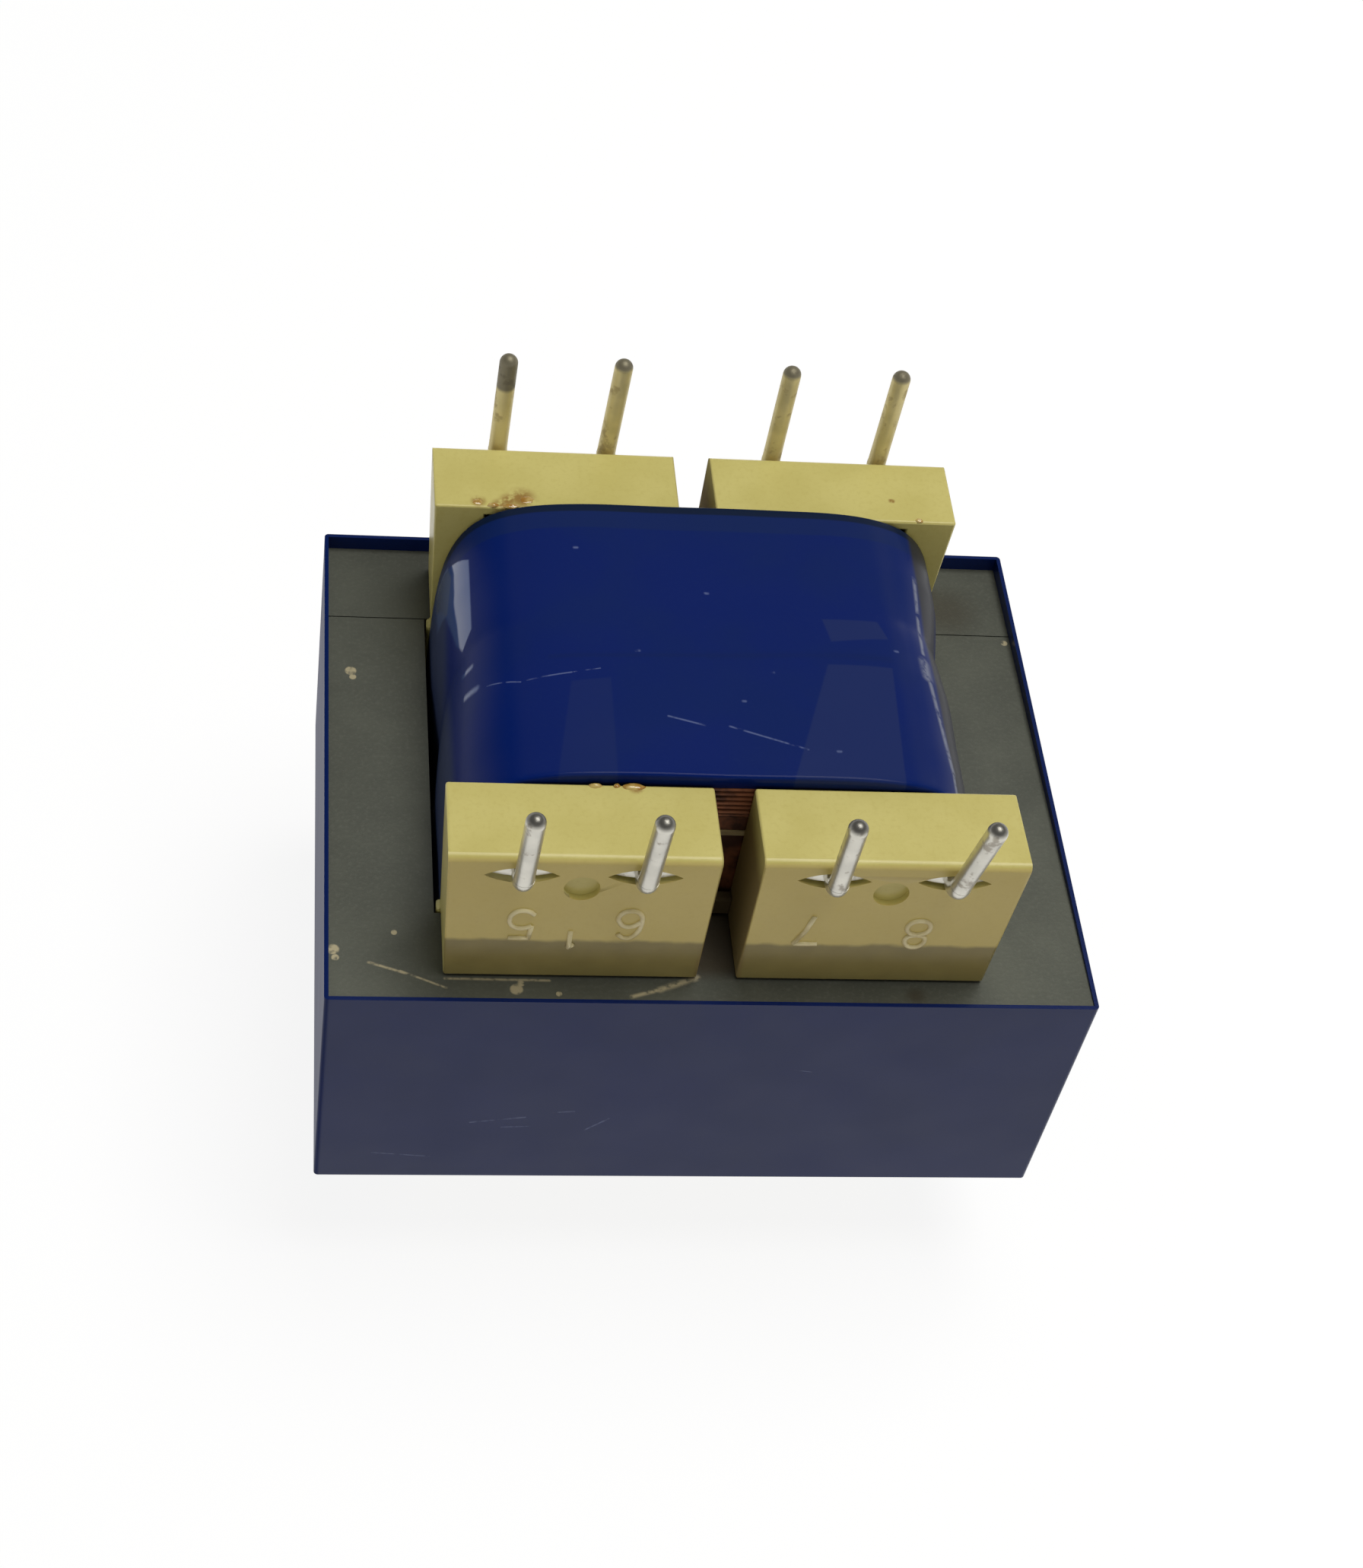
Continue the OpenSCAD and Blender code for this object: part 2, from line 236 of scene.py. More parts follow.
# %% [markdown]
# ## Camera, floor and light
# The view looks down on the transformer from the front, a little from the left and with a
# slight roll, through a long lens. A large sheet is both floor and backdrop. It is white to
# the camera and to glossy surfaces, and throws a warm, weaker light up at the sides. The sky
# is bright along the horizon and dim overhead, and a broad lamp above lights the tops about
# twice as much as the fronts.

# %% Camera
def link(obj):
    """Puts an object into the scene."""
    bpy.context.scene.collection.objects.link(obj)
    return obj

camera_data = bpy.data.cameras.new("camera")
camera_data.lens = 59.75
camera_data.sensor_width = 36
camera_data.shift_x = 0.0708
camera_data.clip_start = 5 * MM
camera = link(bpy.data.objects.new("camera", camera_data))
camera.location = Vector((-20.956, -81.626, 116.267)) * MM
camera.rotation_euler = Euler([math.radians(a) for a in (40.5104, -6.1215, -3.4915)])
bpy.context.scene.camera = camera
print("camera", [round(v / MM, 1) for v in camera.location])

# %% Floor
floor_mesh = bpy.data.meshes.new("floor")
floor_reach = 2000 * MM
turning = ((-1, -1), (1, -1), (1, 1), (-1, 1))
floor_mesh.from_pydata([(x * floor_reach, y * floor_reach, 0) for x, y in turning], [], [(0, 1, 2, 3)])
floor = link(bpy.data.objects.new("floor", floor_mesh))

floor_finish = Finish("floor", Roughness=0.9, Specular_IOR_Level=0.0)
to_camera = floor_finish.add("ShaderNodeLightPath", output="Is Camera Ray")
in_a_gloss = floor_finish.add("ShaderNodeLightPath", output="Is Glossy Ray")
seen = to_camera | in_a_gloss
warm_bounce = (0.50, 0.44, 0.40)
seen_grey = (0.16, 0.16, 0.16)
floor_finish.set(Base_Color=floor_finish.mix(seen, warm_bounce, seen_grey),
                 Emission_Color=floor_finish.mix(seen, (0, 0, 0), (1, 1, 1)))
floor_finish.shader.inputs["Emission Strength"].default_value = 0.88
floor_mesh.materials.append(floor_finish.material)
print("floor laid, half width in mm:", round(floor_reach / MM))

# %% Sky
world = bpy.data.worlds.new("room")
bpy.context.scene.world = world
world.use_nodes = True
tree = world.node_tree
background = tree.nodes["Background"]
background.inputs["Color"].default_value = (1, 1, 1, 1)
direction = tree.nodes.new("ShaderNodeTexCoord")
height = tree.nodes.new("ShaderNodeSeparateXYZ")
dimming = tree.nodes.new("ShaderNodeMapRange")
dimming.interpolation_type = "SMOOTHSTEP"
for socket, value in {"From Min": 0.08, "From Max": 0.40, "To Min": 1.0, "To Max": 0.16}.items():
    dimming.inputs[socket].default_value = value
tree.links.new(direction.outputs["Generated"], height.inputs[0])
tree.links.new(height.outputs["Z"], dimming.inputs["Value"])
tree.links.new(dimming.outputs[0], background.inputs["Strength"])
bpy.context.scene.view_settings.view_transform = "Standard"
print("sky:", world.name)

# %% Lamp
light = bpy.data.lights.new("window", "AREA")
light.shape = "RECTANGLE"
light.size = 300 * MM
light.size_y = 220 * MM
light.energy = 1.25
light.color = (1.0, 0.99, 0.96)
window = link(bpy.data.objects.new("window", light))
window.location = Vector((90, 20, 430)) * MM
aim = Vector((0, 0, 20)) * MM - window.location
window.rotation_euler = aim.to_track_quat("-Z", "Y").to_euler()
print("lamp:", window.name, light.energy, "W")

# %% [markdown]
# ## Helpers for new pieces
# Each added piece is a mesh whose corners are given in millimetres in the same frame as the
# solids, so it needs no fitting. It rides on the one body, and names its material slot.

# %% Make a piece from points
def make_piece(name, shape, finish):
    """A smooth mesh piece from its corners in millimetres and its faces."""
    corners, faces = shape
    mesh = bpy.data.meshes.new(name)
    mesh.from_pydata([Vector(p) * MM for p in corners], [], faces)
    mesh.polygons.foreach_set("use_smooth", [True] * len(faces))
    mesh.materials.append(finish.material)
    mesh.update()
    piece = link(bpy.data.objects.new(name, mesh))
    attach(piece, "root")
    return piece

def gather(shapes):
    """Joins several lists of corners and faces into one."""
    corners, faces = [], []
    for more_corners, more_faces in shapes:
        faces += [tuple(i + len(corners) for i in face) for face in more_faces]
        corners += more_corners
    return corners, faces

print("piece helpers ready")

# %% Skins and tubes
round_sides = 8

def ring_faces(rings, sides, closed):
    """Four-cornered faces between neighbouring rings, each with so many corners."""
    faces = []
    for k in range(rings if closed else rings - 1):
        this, after = k * sides, (k + 1) % rings * sides
        for s in range(sides):
            t = (s + 1) % sides
            faces.append((this + s, this + t, after + t, after + s))
    return faces

def tube(points, radius, closed):
    """A round tube along points: a ring where it is closed, and else with flat ends."""
    corners = []
    count = len(points)
    for k, point in enumerate(points):
        before = points[(k - 1) % count] if closed or k else points[0]
        after = points[(k + 1) % count] if closed or k < count - 1 else points[-1]
        run = (Vector(after) - Vector(before)).normalized()
        side = run.cross(Vector((0, 1, 0)))
        side = side.normalized() if side.length > 0.1 else run.cross(Vector((0, 0, 1))).normalized()
        up = side.cross(run)
        for s in range(round_sides):
            angle = 2 * math.pi * s / round_sides
            corners.append(Vector(point) + radius * (math.cos(angle) * side + math.sin(angle) * up))
    faces = [(a, d, c, b) for a, b, c, d in ring_faces(count, round_sides, closed)]
    if not closed:
        faces.append(tuple(range(round_sides)))
        faces.append(tuple((count - 1) * round_sides + s for s in reversed(range(round_sides))))
    return corners, faces

print("tubes have", round_sides, "sides")

# %% [markdown]
# ## Blue tape
# Glossy polyester tape, wound round the coil and again round the rim of the core. Its film
# is clear and its glue is blue, so the colour is deep and the gloss stays neutral. One
# function makes the finish for both, and marks are laid on by place.

# %% Tape finish
def tape_finish(name, scratches, patches, gloss, coat_rough):
    """Blue tape. Scratches, patches and gloss are functions that lay their masks on it."""
    tape = Finish(name, Specular_IOR_Level=0.05, Coat_IOR=1.45)
    deep, clouded, grainy = (0.0004, 0.0120, 0.126), (0.0020, 0.0155, 0.108), (0.006, 0.020, 0.120)
    scratched = (0.20, 0.25, 0.45)
    cloudy = tape.noise(0.16, 3, 0.55).fade(0.38, 0.66)
    grain = tape.noise(7.0, 2, 0.6)
    colour = tape.mix(cloudy * 0.55, deep, clouded)
    colour = tape.mix(grain.fade(0.5, 0.8) * 0.25, colour, grainy)
    for mask, tint in patches(tape):
        colour = tape.mix(mask, colour, tint)
    scuffs = any_of(scratches(tape)) * tape.noise(2.2, 2).fade(0.32, 0.6)
    tape.set(Base_Color=tape.mix(scuffs * 0.5, colour, scratched), Coat_Weight=gloss(tape),
             Roughness=0.4, Coat_Roughness=coat_rough)
    ripple = tape.noise(0.14, 2, 0.5)
    tape.relief(ripple, depth=0.25, strength=0.5)
    return tape

print("one finish for both tapes")

# %% [markdown]
# ## Marks on the tape
# Handling marks are never spread evenly: each has its own place and length. Those on the
# coil are given by their place as seen from above, and a height keeps them off the lower
# side. The coil's shoulders are dull, apart from a few glossy marks on the left one.

# %% Scratches and glossy marks on the coil
coil_lines = [((-10.6, -2.25), (-9.2, -2.72), 0.12), ((-8.9, -2.68), (-6.9, -2.42), 0.13),
              ((-6.8, -2.4), (-5.6, -2.2), 0.10), ((-2.75, -5.08), (-1.13, -5.57), 0.16),
              ((-0.02, -5.58), (3.38, -6.85), 0.16)]
coil_specks = [(-0.34, 2.71), (0.72, -4.03), (4.74, -6.89), (8.35, -0.28), (2.23, -2.24),
               (-3.87, -1.07), (-6.3, 5.5)]
speck_long, speck_wide = 0.12, 0.24

def coil_scratches(tape):
    """Long scratches and short specks, given by their place as seen from above."""
    lines = coil_lines + [((x, y), (x + speck_long, y), speck_wide) for x, y in coil_specks]
    marks = any_of([tape.plan_stroke(start, end, width) for start, end, width in lines])
    return [marks * tape.z.fade(26.0, 27.0)]

def gloss_and_highlight_marks(tape):
    """The glossy patch and the two spots in front of it, on the dull left shoulder. In the colour the same
    marks are a painted highlight.
    """
    film = tape.patch([(-12.6, 8.3), (-11.75, 2.2), (-11.5, 1.3), (-11.08, 2.0), (-11.08, 6.3)], 0.08)
    return any_of([film * tape.z.fade(24.0, 25.0),
                   tape.stroke((-11.55, -0.25, 28.16), (-11.24, -0.27, 28.83), 0.5),
                   tape.stroke((-11.55, -1.82, 28.43), (-11.11, -1.94, 29.22), 0.6)])

print("scratches and specks:", len(coil_lines) + len(coil_specks))

# %% Tints, painted light and gloss of the coil
def coil_patches(tape):
    """Painted reflections on the top, darker at the film's overlap, painted shade at its back end and
    right flank, a painted sheen on the left flank, and painted highlights on the left shoulder and along
    folds of the right one.
    """
    # Painted reflections: greyer, paler patches on the top where the film mirrors the room.
    painted_reflections = any_of([tape.patch([(2.4, -9.0), (7.7, -9.0), (8.1, -1.4), (4.9, -1.55)]),
                    tape.patch([(5.25, -0.2), (8.2, 0.35), (7.75, 1.5), (4.96, 1.35)]),
                    tape.patch([(-8.0, -9.0), (-5.2, -9.0), (-5.1, -2.7), (-7.0, -2.9)]) * 0.5,
                    tape.x.fade(8.0, 8.6) * 0.35])
    upper = tape.z.fade(27.0, 28.0)
    crease = any_of([tape.stroke((-7.8, -1.4, 30.95), (-0.6, -1.3, 31.15), 0.5),
                     tape.stroke((-0.6, -1.3, 31.15), (8.0, -0.9, 30.9), 0.7)])
    # Painted shade along the back end of the film, where it turns down.
    back_edge_shade = tape.y.fade(coil_half - 0.62, coil_half - 0.5)
    lap = tape.y.fade(coil_half - 1.7, coil_half - 1.6) * 0.5
    # Painted highlight along folds of the right shoulder.
    painted_fold_highlight = any_of([tape.plan_stroke((10.22, 5.25), (9.93, 0.3), 0.34),
                   tape.plan_stroke((9.88, -0.3), (9.88, -1.3), 0.85),
                   tape.plan_stroke((9.98, -1.6), (10.36, -6.7), 0.38),
                   tape.plan_stroke((10.36, -6.7), (10.32, -8.2), 0.26)])
    painted_fold_highlight = painted_fold_highlight * upper * tape.noise(1.3, 3, 0.6).fade(0.30, 0.50)
    # Painted highlight on the left flank, below the glossy patch.
    painted_flank_highlight = tape.patch([(-12.7, 8.3), (-12.7, 6.2), (-12.0, 4.6), (-11.8, 6.5), (-11.9, 7.6)], 0.08)
    # Painted sheen on the left flank and painted shade on the right flank.
    left_flank_sheen = tape.x.fade(-11.9, -12.2)
    right_flank_shade = tape.x.fade(10.20, 10.50) * tape.z.fade(26.5, 28.5)
    return [(painted_reflections * upper * 0.9, (0.0115, 0.0245, 0.118)),
            (crease * 0.4, (0.002, 0.013, 0.085)),
            (lap, (0.006, 0.020, 0.088)),
            (back_edge_shade * 0.85, (0.003, 0.010, 0.026)),
            (left_flank_sheen * 0.8, (0.045, 0.060, 0.110)),
            (right_flank_shade * 0.9, (0.028, 0.028, 0.024)),
            # Painted highlight on the glossy marks of the left shoulder.
            (gloss_and_highlight_marks(tape) * 0.8, (0.014, 0.065, 0.260)),
            (painted_flank_highlight * tape.z.fade(24.6, 25.4) * 0.8, (0.070, 0.105, 0.210)),
            (painted_fold_highlight * 0.75, (0.24, 0.26, 0.33))]

def coil_gloss(tape):
    """The tape is dull along both shoulders, but for the glossy marks on the left one."""
    left = tape.x.fade(-9.0, -9.9)
    right = tape.x.fade(8.6, 9.4)
    shine = gloss_and_highlight_marks(tape)
    ends = abs(tape.y).fade(coil_half - 0.35, coil_half - 0.1)
    return (0.55 + left * shine * 0.45 - left * (1 - shine) * 0.54 - right * 0.53) * (1 - ends * 0.85)

coil_blue = tape_finish("coil_tape", coil_scratches, coil_patches, coil_gloss, coat_rough=0.10)
print("coil finish has", len(coil_blue.tree.nodes), "nodes")

# %% Marks on the tape round the core
rim_front = -14.3
rim_lines = [((-10.47, 12.3), (-7.9, 12.77), 0.16), ((-4.95, 11.7), (-3.9, 12.7), 0.16),
             ((-9.0, 11.9), (-7.6, 12.0), 0.12), ((-6.6, 13.2), (-5.6, 13.3), 0.12),
             ((-15.0, 9.6), (-12.2, 9.3), 0.10), ((4.0, 17.0), (5.2, 16.8), 0.08)]

def rim_scratches(tape):
    """Fine scratches on the front, each from one (x, z) to another."""
    return [tape.stroke((ax, rim_front, az), (bx, rim_front, bz), width)
            for (ax, az), (bx, bz), width in rim_lines]

def rim_patches(tape):
    """The rim is one turn over dark steel. Its blue is painted darker than the coil's, as painted shade on
    its faces.
    """
    return [(tape.noise(0.2).fade(0.2, 0.8) * 0.3 + 0.6, (0.0010, 0.0110, 0.080))]

def rim_gloss(tape):
    """Half glossy, and dull on the left side."""
    return (tape.noise(0.3) * 0.15 + 0.38) * tape.x.fade(-17.60, -17.4)

rim_blue = tape_finish("rim_tape", rim_scratches, rim_patches, rim_gloss, coat_rough=0.2)
nodes["core_tape"].data.materials[0] = rim_blue.material
print("marks on the rim:", len(rim_lines))

# %% [markdown]
# ## Steel sheets
# Grey transformer sheet with a thin oxide skin: neither bright nor painted. Its colour
# wanders in soft clouds, and handling has left pale scuffs and specks on the top sheet.

# %% Marks on the top sheet
steel = Finish("core_steel", Metallic=0.45)
on_top = steel.z.fade(core_top - 0.2, core_top - 0.1)
scuff_lines = [((-15.72, -12.14), (-14.0, -12.75), 0.22), ((-14.3, -12.6), (-12.25, -13.5), 0.18),
               ((-3.9, -13.85), (-2.6, -13.45), 0.34), ((-2.6, -13.45), (-0.85, -12.75), 0.5),
               ((-12.3, -12.98), (-7.6, -13.02), 0.22)]
scuff_spots = [((-9.11, -13.53), 0.34), ((-8.9, -13.2), 0.2), ((-7.2, -13.75), 0.16),
               ((-17.3, -11.45), 0.32), ((-17.2, -11.9), 0.2), ((-16.4, 5.6), 0.32),
               ((-16.3, 5.2), 0.2), ((-14.54, -10.45), 0.16), ((17.2, 8.8), 0.2)]
scuffs = any_of([steel.stroke((*a, core_top), (*b, core_top), width) for a, b, width in scuff_lines]
                + [steel.spot((*centre, core_top), radius) for centre, radius in scuff_spots])
# Rust in front of the front right block; the two larger spots beside the back right block are a painted
# shadow.
rust_and_shadow = any_of([steel.spot((14.4, 11.0, core_top), 2.4, 0.9) * 0.5,
               steel.spot((13.7, 12.0, core_top), 1.2, 0.9) * 0.5,
               steel.spot((9.2, -13.6, core_top), 0.7, 0.9) * 0.6])
# The steel between the front blocks is darker and browner.
between_blocks = abs(steel.x).fade(1.5, 0.8) * abs(steel.y).fade(block_face + 0.3, block_face - 0.8)
print("scuffs:", len(scuff_lines) + len(scuff_spots))

# %% Steel finish
oxide_dark, oxide_light, oxide_fleck = (0.082, 0.087, 0.069), (0.105, 0.111, 0.087), (0.155, 0.160, 0.130)
# Brown for the rust and the painted shadow, and a darker brown for the steel between the front blocks.
rust_and_shadow_brown, between_blocks_brown, scuff_pale = (0.050, 0.038, 0.020), (0.060, 0.042, 0.020), (0.46, 0.40, 0.25)
clouds = steel.noise(0.16, 4, 0.6).fade(0.35, 0.7)
fine = steel.noise(5.0, 3, 0.65)
skin = steel.mix(clouds, oxide_dark, oxide_light)
skin = steel.mix(fine.fade(0.45, 0.8) * 0.35, skin, oxide_fleck)
# Rust and painted shadow on the top sheet.
skin = steel.mix(rust_and_shadow * on_top, skin, rust_and_shadow_brown)
# Darker brown on the steel between the front blocks.
skin = steel.mix(between_blocks * on_top * 0.8, skin, between_blocks_brown)
skin = steel.mix(scuffs * steel.noise(3.0, 2).fade(0.28, 0.55) * on_top, skin, scuff_pale)
steel.set(Base_Color=skin, Roughness=fine * 0.15 + 0.42)
steel.relief(fine, depth=0.02, strength=0.4)
sheets = ("front_e_laminations", "back_i_laminations", "back_e_laminations", "front_i_laminations")
for name in sheets:
    nodes[name].data.materials[0] = steel.material
print("stacks of sheets finished:", len(sheets))

# %% [markdown]
# ## Moulded bobbin
# Pale yellow nylon. The CAD solid has the true form, but moulded corners are never sharp,
# so a copy of it gets small rounds along its long edges and takes the solid's place. The
# outer faces of the blocks are tinted warmer as painted shade and carry painted shade at
# their foot, the slot between the blocks carries painted shade, and soldering has browned
# a few spots on top.

# %% Painted shade and flux stains on the nylon
# Height below which the outer faces of the blocks carry painted shade.
foot_shade_top = block_top - 5.75
nylon = Finish("bobbin_nylon", Specular_IOR_Level=0.4)
outside = abs(nylon.y).fade(block_face - 0.15, block_face - 0.02)
painted_foot_shade = outside * (nylon.z + nylon.noise(0.7, 2) * 0.5).fade(foot_shade_top + 0.45, foot_shade_top + 0.1)
painted_foot_shade = painted_foot_shade * (nylon.noise(0.8, 2) * 0.2 + 0.9)
# Painted shade deep in the gap between the front blocks: on the sill, low on the inner faces and on the
# sides of the slot.
sill = (abs(nylon.x).fade(1.3, 1.0) * abs(nylon.y).fade(9.4, 9.25)
        * nylon.z.fade(core_top + 1.6, core_top + 1.35))
inside = (abs(nylon.x).fade(1.2, 0.85) * nylon.z.fade(core_top + 3.5, core_top + 1.0)
          | abs(nylon.x).fade(0.97, 0.91) * nylon.z.fade(block_top - 0.3, block_top - 2.0) | sill)
over_core = nylon.z.fade(core_top - 0.5, core_top - 0.1)
slot_faces = abs(nylon.x).fade(1.00, 0.93) * over_core
burnt_spots = [((-10.65, 9.0), 0.5, 0.8), ((-9.2, 9.15), 0.6, 0.8), ((-8.55, 9.3), 0.95, 0.8),
               ((9.71, 10.06), 0.22, 0.6), ((-4.4, -8.75), 0.45, 0.7), ((-9.6, 8.8), 0.6, 0.9)]
burnt = any_of([nylon.spot((*centre, block_top), radius, soft) for centre, radius, soft in burnt_spots])
burnt = burnt * nylon.noise(1.6, 3, 0.6).fade(0.32, 0.52)
print("browned spots:", len(burnt_spots))

# %% Nylon finish
yellow, light_yellow, mottled = (0.60, 0.525, 0.165), (0.65, 0.575, 0.195), (0.53, 0.44, 0.12)
# A warmer painted shade for the outer faces, and a darker painted shade for their foot.
outer_shade_yellow, foot_shade_brown = (0.66, 0.500, 0.155), (0.10, 0.078, 0.028)
# Colours of the painted shade in the slot and the gap between the blocks.
slot_shade, slot_shade_brown, sill_shade_brown = (0.36, 0.30, 0.10), (0.18, 0.120, 0.042), (0.050, 0.033, 0.014)
flux_brown = (0.27, 0.125, 0.018)
tone = nylon.noise(0.30, 3, 0.5).fade(0.3, 0.7)
body_colour = nylon.mix(tone, yellow, light_yellow)
body_colour = nylon.mix(nylon.noise(4.0, 3, 0.6).fade(0.45, 0.75) * 0.3, body_colour, mottled)
# Painted shade: the outer faces are tinted warmer than the top.
body_colour = nylon.mix(outside * 0.5, body_colour, outer_shade_yellow)
# Painted shade: the outer faces grow darker towards their foot.
body_colour = nylon.mix(painted_foot_shade * 0.70, body_colour, foot_shade_brown)
# Painted shade in the slot and the gap between the blocks.
body_colour = nylon.mix(slot_faces * 0.5, body_colour, slot_shade)
body_colour = nylon.mix(inside * over_core * 0.82, body_colour, slot_shade_brown)
body_colour = nylon.mix(sill * over_core * 0.85, body_colour, sill_shade_brown)
nylon.set(Base_Color=nylon.mix(burnt * 0.85, body_colour, flux_brown),
          Roughness=nylon.noise(1.5, 2) * 0.12 + slot_faces * 0.55 + 0.26)
nylon.relief(nylon.noise(2.0, 3, 0.6), depth=0.03, strength=0.35)
print("nylon finish has", len(nylon.tree.nodes), "nodes")

# %% Rounded copy of the bobbin
edge_round = 0.12
shortest_edge = 1.0
sharp_angle = 50
crease_angle = 30

def rounded_copy(node, name, finish):
    """A copy of a node with its long, sharp, outward edges rounded. It takes the node's place."""
    mesh = nodes[node].data.copy()
    mesh.name = name
    shape = bmesh.new()
    shape.from_mesh(mesh)
    bmesh.ops.remove_doubles(shape, verts=shape.verts, dist=0.001 * MM)
    bmesh.ops.dissolve_limit(shape, angle_limit=math.radians(0.5), verts=shape.verts, edges=shape.edges)
    long_edges = [e for e in shape.edges if e.is_manifold and e.is_convex
                  and e.calc_length() > shortest_edge * MM
                  and math.degrees(e.calc_face_angle()) > sharp_angle]
    bmesh.ops.bevel(shape, geom=long_edges, offset=edge_round * MM, segments=2, profile=0.5,
                    affect="EDGES", clamp_overlap=False)
    shape.to_mesh(mesh)
    shape.free()
    mesh.materials.clear()
    mesh.materials.append(finish.material)
    piece = link(bpy.data.objects.new(name, mesh))
    mesh.shade_smooth()
    mesh.set_sharp_from_angle(angle=math.radians(crease_angle))
    even = piece.modifiers.new("even_shading", "WEIGHTED_NORMAL")
    even.keep_sharp = True
    even.weight = 100
    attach(piece, "root")
    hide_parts(node)
    return piece, len(long_edges)

bobbin, rounded = rounded_copy("bobbin", "bobbin_moulding", nylon)
print("bobbin edges rounded:", rounded, "faces:", len(bobbin.data.polygons))

# %% [markdown]
# ## Pin numbers
# The mould leaves a raised number beside each pin, on the outer faces of the blocks. They
# read the right way up once the pins point down at the board, so here they stand on their
# heads. Each is a thin round bead along a stroke, half sunk into the face.

# %% Number strokes
digit_middle = (0.5, 0.85)
strokes = {
    "1": [[(0.25, 1.35), (0.55, 1.7), (0.55, 0.0)]],
    "2": [[(0.05, 1.3), (0.2, 1.6), (0.5, 1.7), (0.8, 1.6), (0.93, 1.3), (0.8, 0.95), (0.05, 0.0)],
          [(0.05, 0.0), (0.97, 0.0)]],
    "3": [[(0.08, 1.5), (0.4, 1.7), (0.8, 1.6), (0.9, 1.25), (0.72, 0.95), (0.4, 0.9)],
          [(0.4, 0.9), (0.78, 0.82), (0.95, 0.45), (0.8, 0.1), (0.4, 0.0), (0.05, 0.2)]],
    "4": [[(0.7, 0.0), (0.7, 1.7)], [(0.7, 1.7), (0.0, 0.55)], [(0.0, 0.55), (1.0, 0.55)]],
    "5": [[(0.92, 1.7), (0.14, 1.7)], [(0.14, 1.7), (0.08, 0.95)],
          [(0.08, 0.95), (0.35, 1.1), (0.7, 1.08), (0.95, 0.8), (0.95, 0.35), (0.7, 0.02), (0.3, 0.0),
           (0.03, 0.25)]],
    "6": [[(0.88, 1.45), (0.65, 1.7), (0.35, 1.68), (0.1, 1.3), (0.02, 0.8), (0.05, 0.3), (0.3, 0.0),
           (0.7, 0.0), (0.95, 0.3), (0.95, 0.65), (0.7, 0.98), (0.35, 0.98), (0.05, 0.65)]],
    "7": [[(0.03, 1.7), (0.95, 1.7)], [(0.95, 1.7), (0.6, 0.9), (0.4, 0.0)]],
    "8": [[(0.5, 0.9), (0.15, 1.0), (0.08, 1.35), (0.3, 1.68), (0.7, 1.68), (0.92, 1.35), (0.85, 1.0),
           (0.5, 0.9)],
          [(0.5, 0.9), (0.1, 0.75), (0.02, 0.35), (0.25, 0.02), (0.75, 0.02), (0.98, 0.35), (0.9, 0.75),
           (0.5, 0.9)]],
}

def softened(line, rounds=2):
    """Cuts the corners of a longer line again and again, so that it bends in curves."""
    for _ in range(rounds if len(line) > 3 else 0):
        cut = [line[0]]
        for (ax, ay), (bx, by) in zip(line, line[1:]):
            cut += [(0.75 * ax + 0.25 * bx, 0.75 * ay + 0.25 * by),
                    (0.25 * ax + 0.75 * bx, 0.25 * ay + 0.75 * by)]
        line = cut + [line[-1]]
    return line

print("digits drawn:", len(strokes))

# %% Numbers on the blocks
# The numbers are the bobbin's nylon, painted paler as a painted highlight on their raised strokes.
bead_painted_light, bead_painted_highlight = (0.66, 0.56, 0.27), (0.85, 0.76, 0.44)
number_finish = Finish("number_nylon", Specular_IOR_Level=0.5, Roughness=0.3)
number_tone = number_finish.noise(1.2).fade(0.3, 0.7)
number_finish.set(Base_Color=number_finish.mix(number_tone, bead_painted_light, bead_painted_highlight))

# Digit, then its place along the block and up it, then the front (-1) or back (1), then its scale.
number_spots = [("5", -9.25, 25.95, -1, 1.16), ("6", -4.46, 26.05, -1, 1.16), ("1", -6.96, 24.9, -1, 0.7),
                ("7", 3.6, 25.85, -1, 1.16), ("8", 8.56, 25.7, -1, 1.16), ("4", -9.3, 25.7, 1, 1.18),
                ("3", -4.4, 25.7, 1, 1.18), ("2", 4.4, 25.7, 1, 1.18), ("1", 9.3, 25.7, 1, 1.18)]
bead_radius = 0.12
bead_lift = 0.01
beads = []
for digit, x, z, side, size in number_spots:
    for line in strokes[digit]:
        path = [Vector((x + side * (u - digit_middle[0]) * size, side * (block_face + bead_lift),
                        z - (v - digit_middle[1]) * size)) for u, v in softened(line)]
        beads.append(tube(path, bead_radius, closed=False))
numbers = make_piece("moulded_numbers", gather(beads), number_finish)
print("numbers:", len(number_spots), "faces:", len(numbers.data.polygons))

# %% [markdown]
# ## Coil wrap
# The tape is pulled hardest over the corners of the coil, and draws its flanks in a little
# behind the middle. The section is a squarish oval, drawn as a superellipse: one exponent
# sets how square it is. The skin is swept along the coil with a rounded rim at each end.

# %% Section of the coil
mid_z = (steel_low.z + steel_high.z) / 2
squareness = 5.8
crown = 0.22
# How deep each flank is drawn in, where along the coil, how far to each side, and how sharply.
waists = {-1: (0.3, 1.0, 4.0, 1.3), 1: (0.5, 1.9, 3.4, 1.2)}
right_inset = 0.08
front_taper = 0.45

def ease(value, start, end):
    """Goes smoothly from 0 to 1 while value goes from start to end."""
    share = min(max((value - start) / (end - start), 0.0), 1.0)
    return share * share * (3 - 2 * share)

def half_width(y, side):
    """Half of the coil's width at place y, on its left (-1) or right (1)."""
    depth, middle, reach, power = waists[side]
    pinch = depth * max(0.0, 1 - abs(y - middle) / reach) ** power
    if side < 0:
        return wrap_high.x - pinch
    return wrap_high.x - right_inset - front_taper * ease(y, coil_half, -coil_half) - pinch

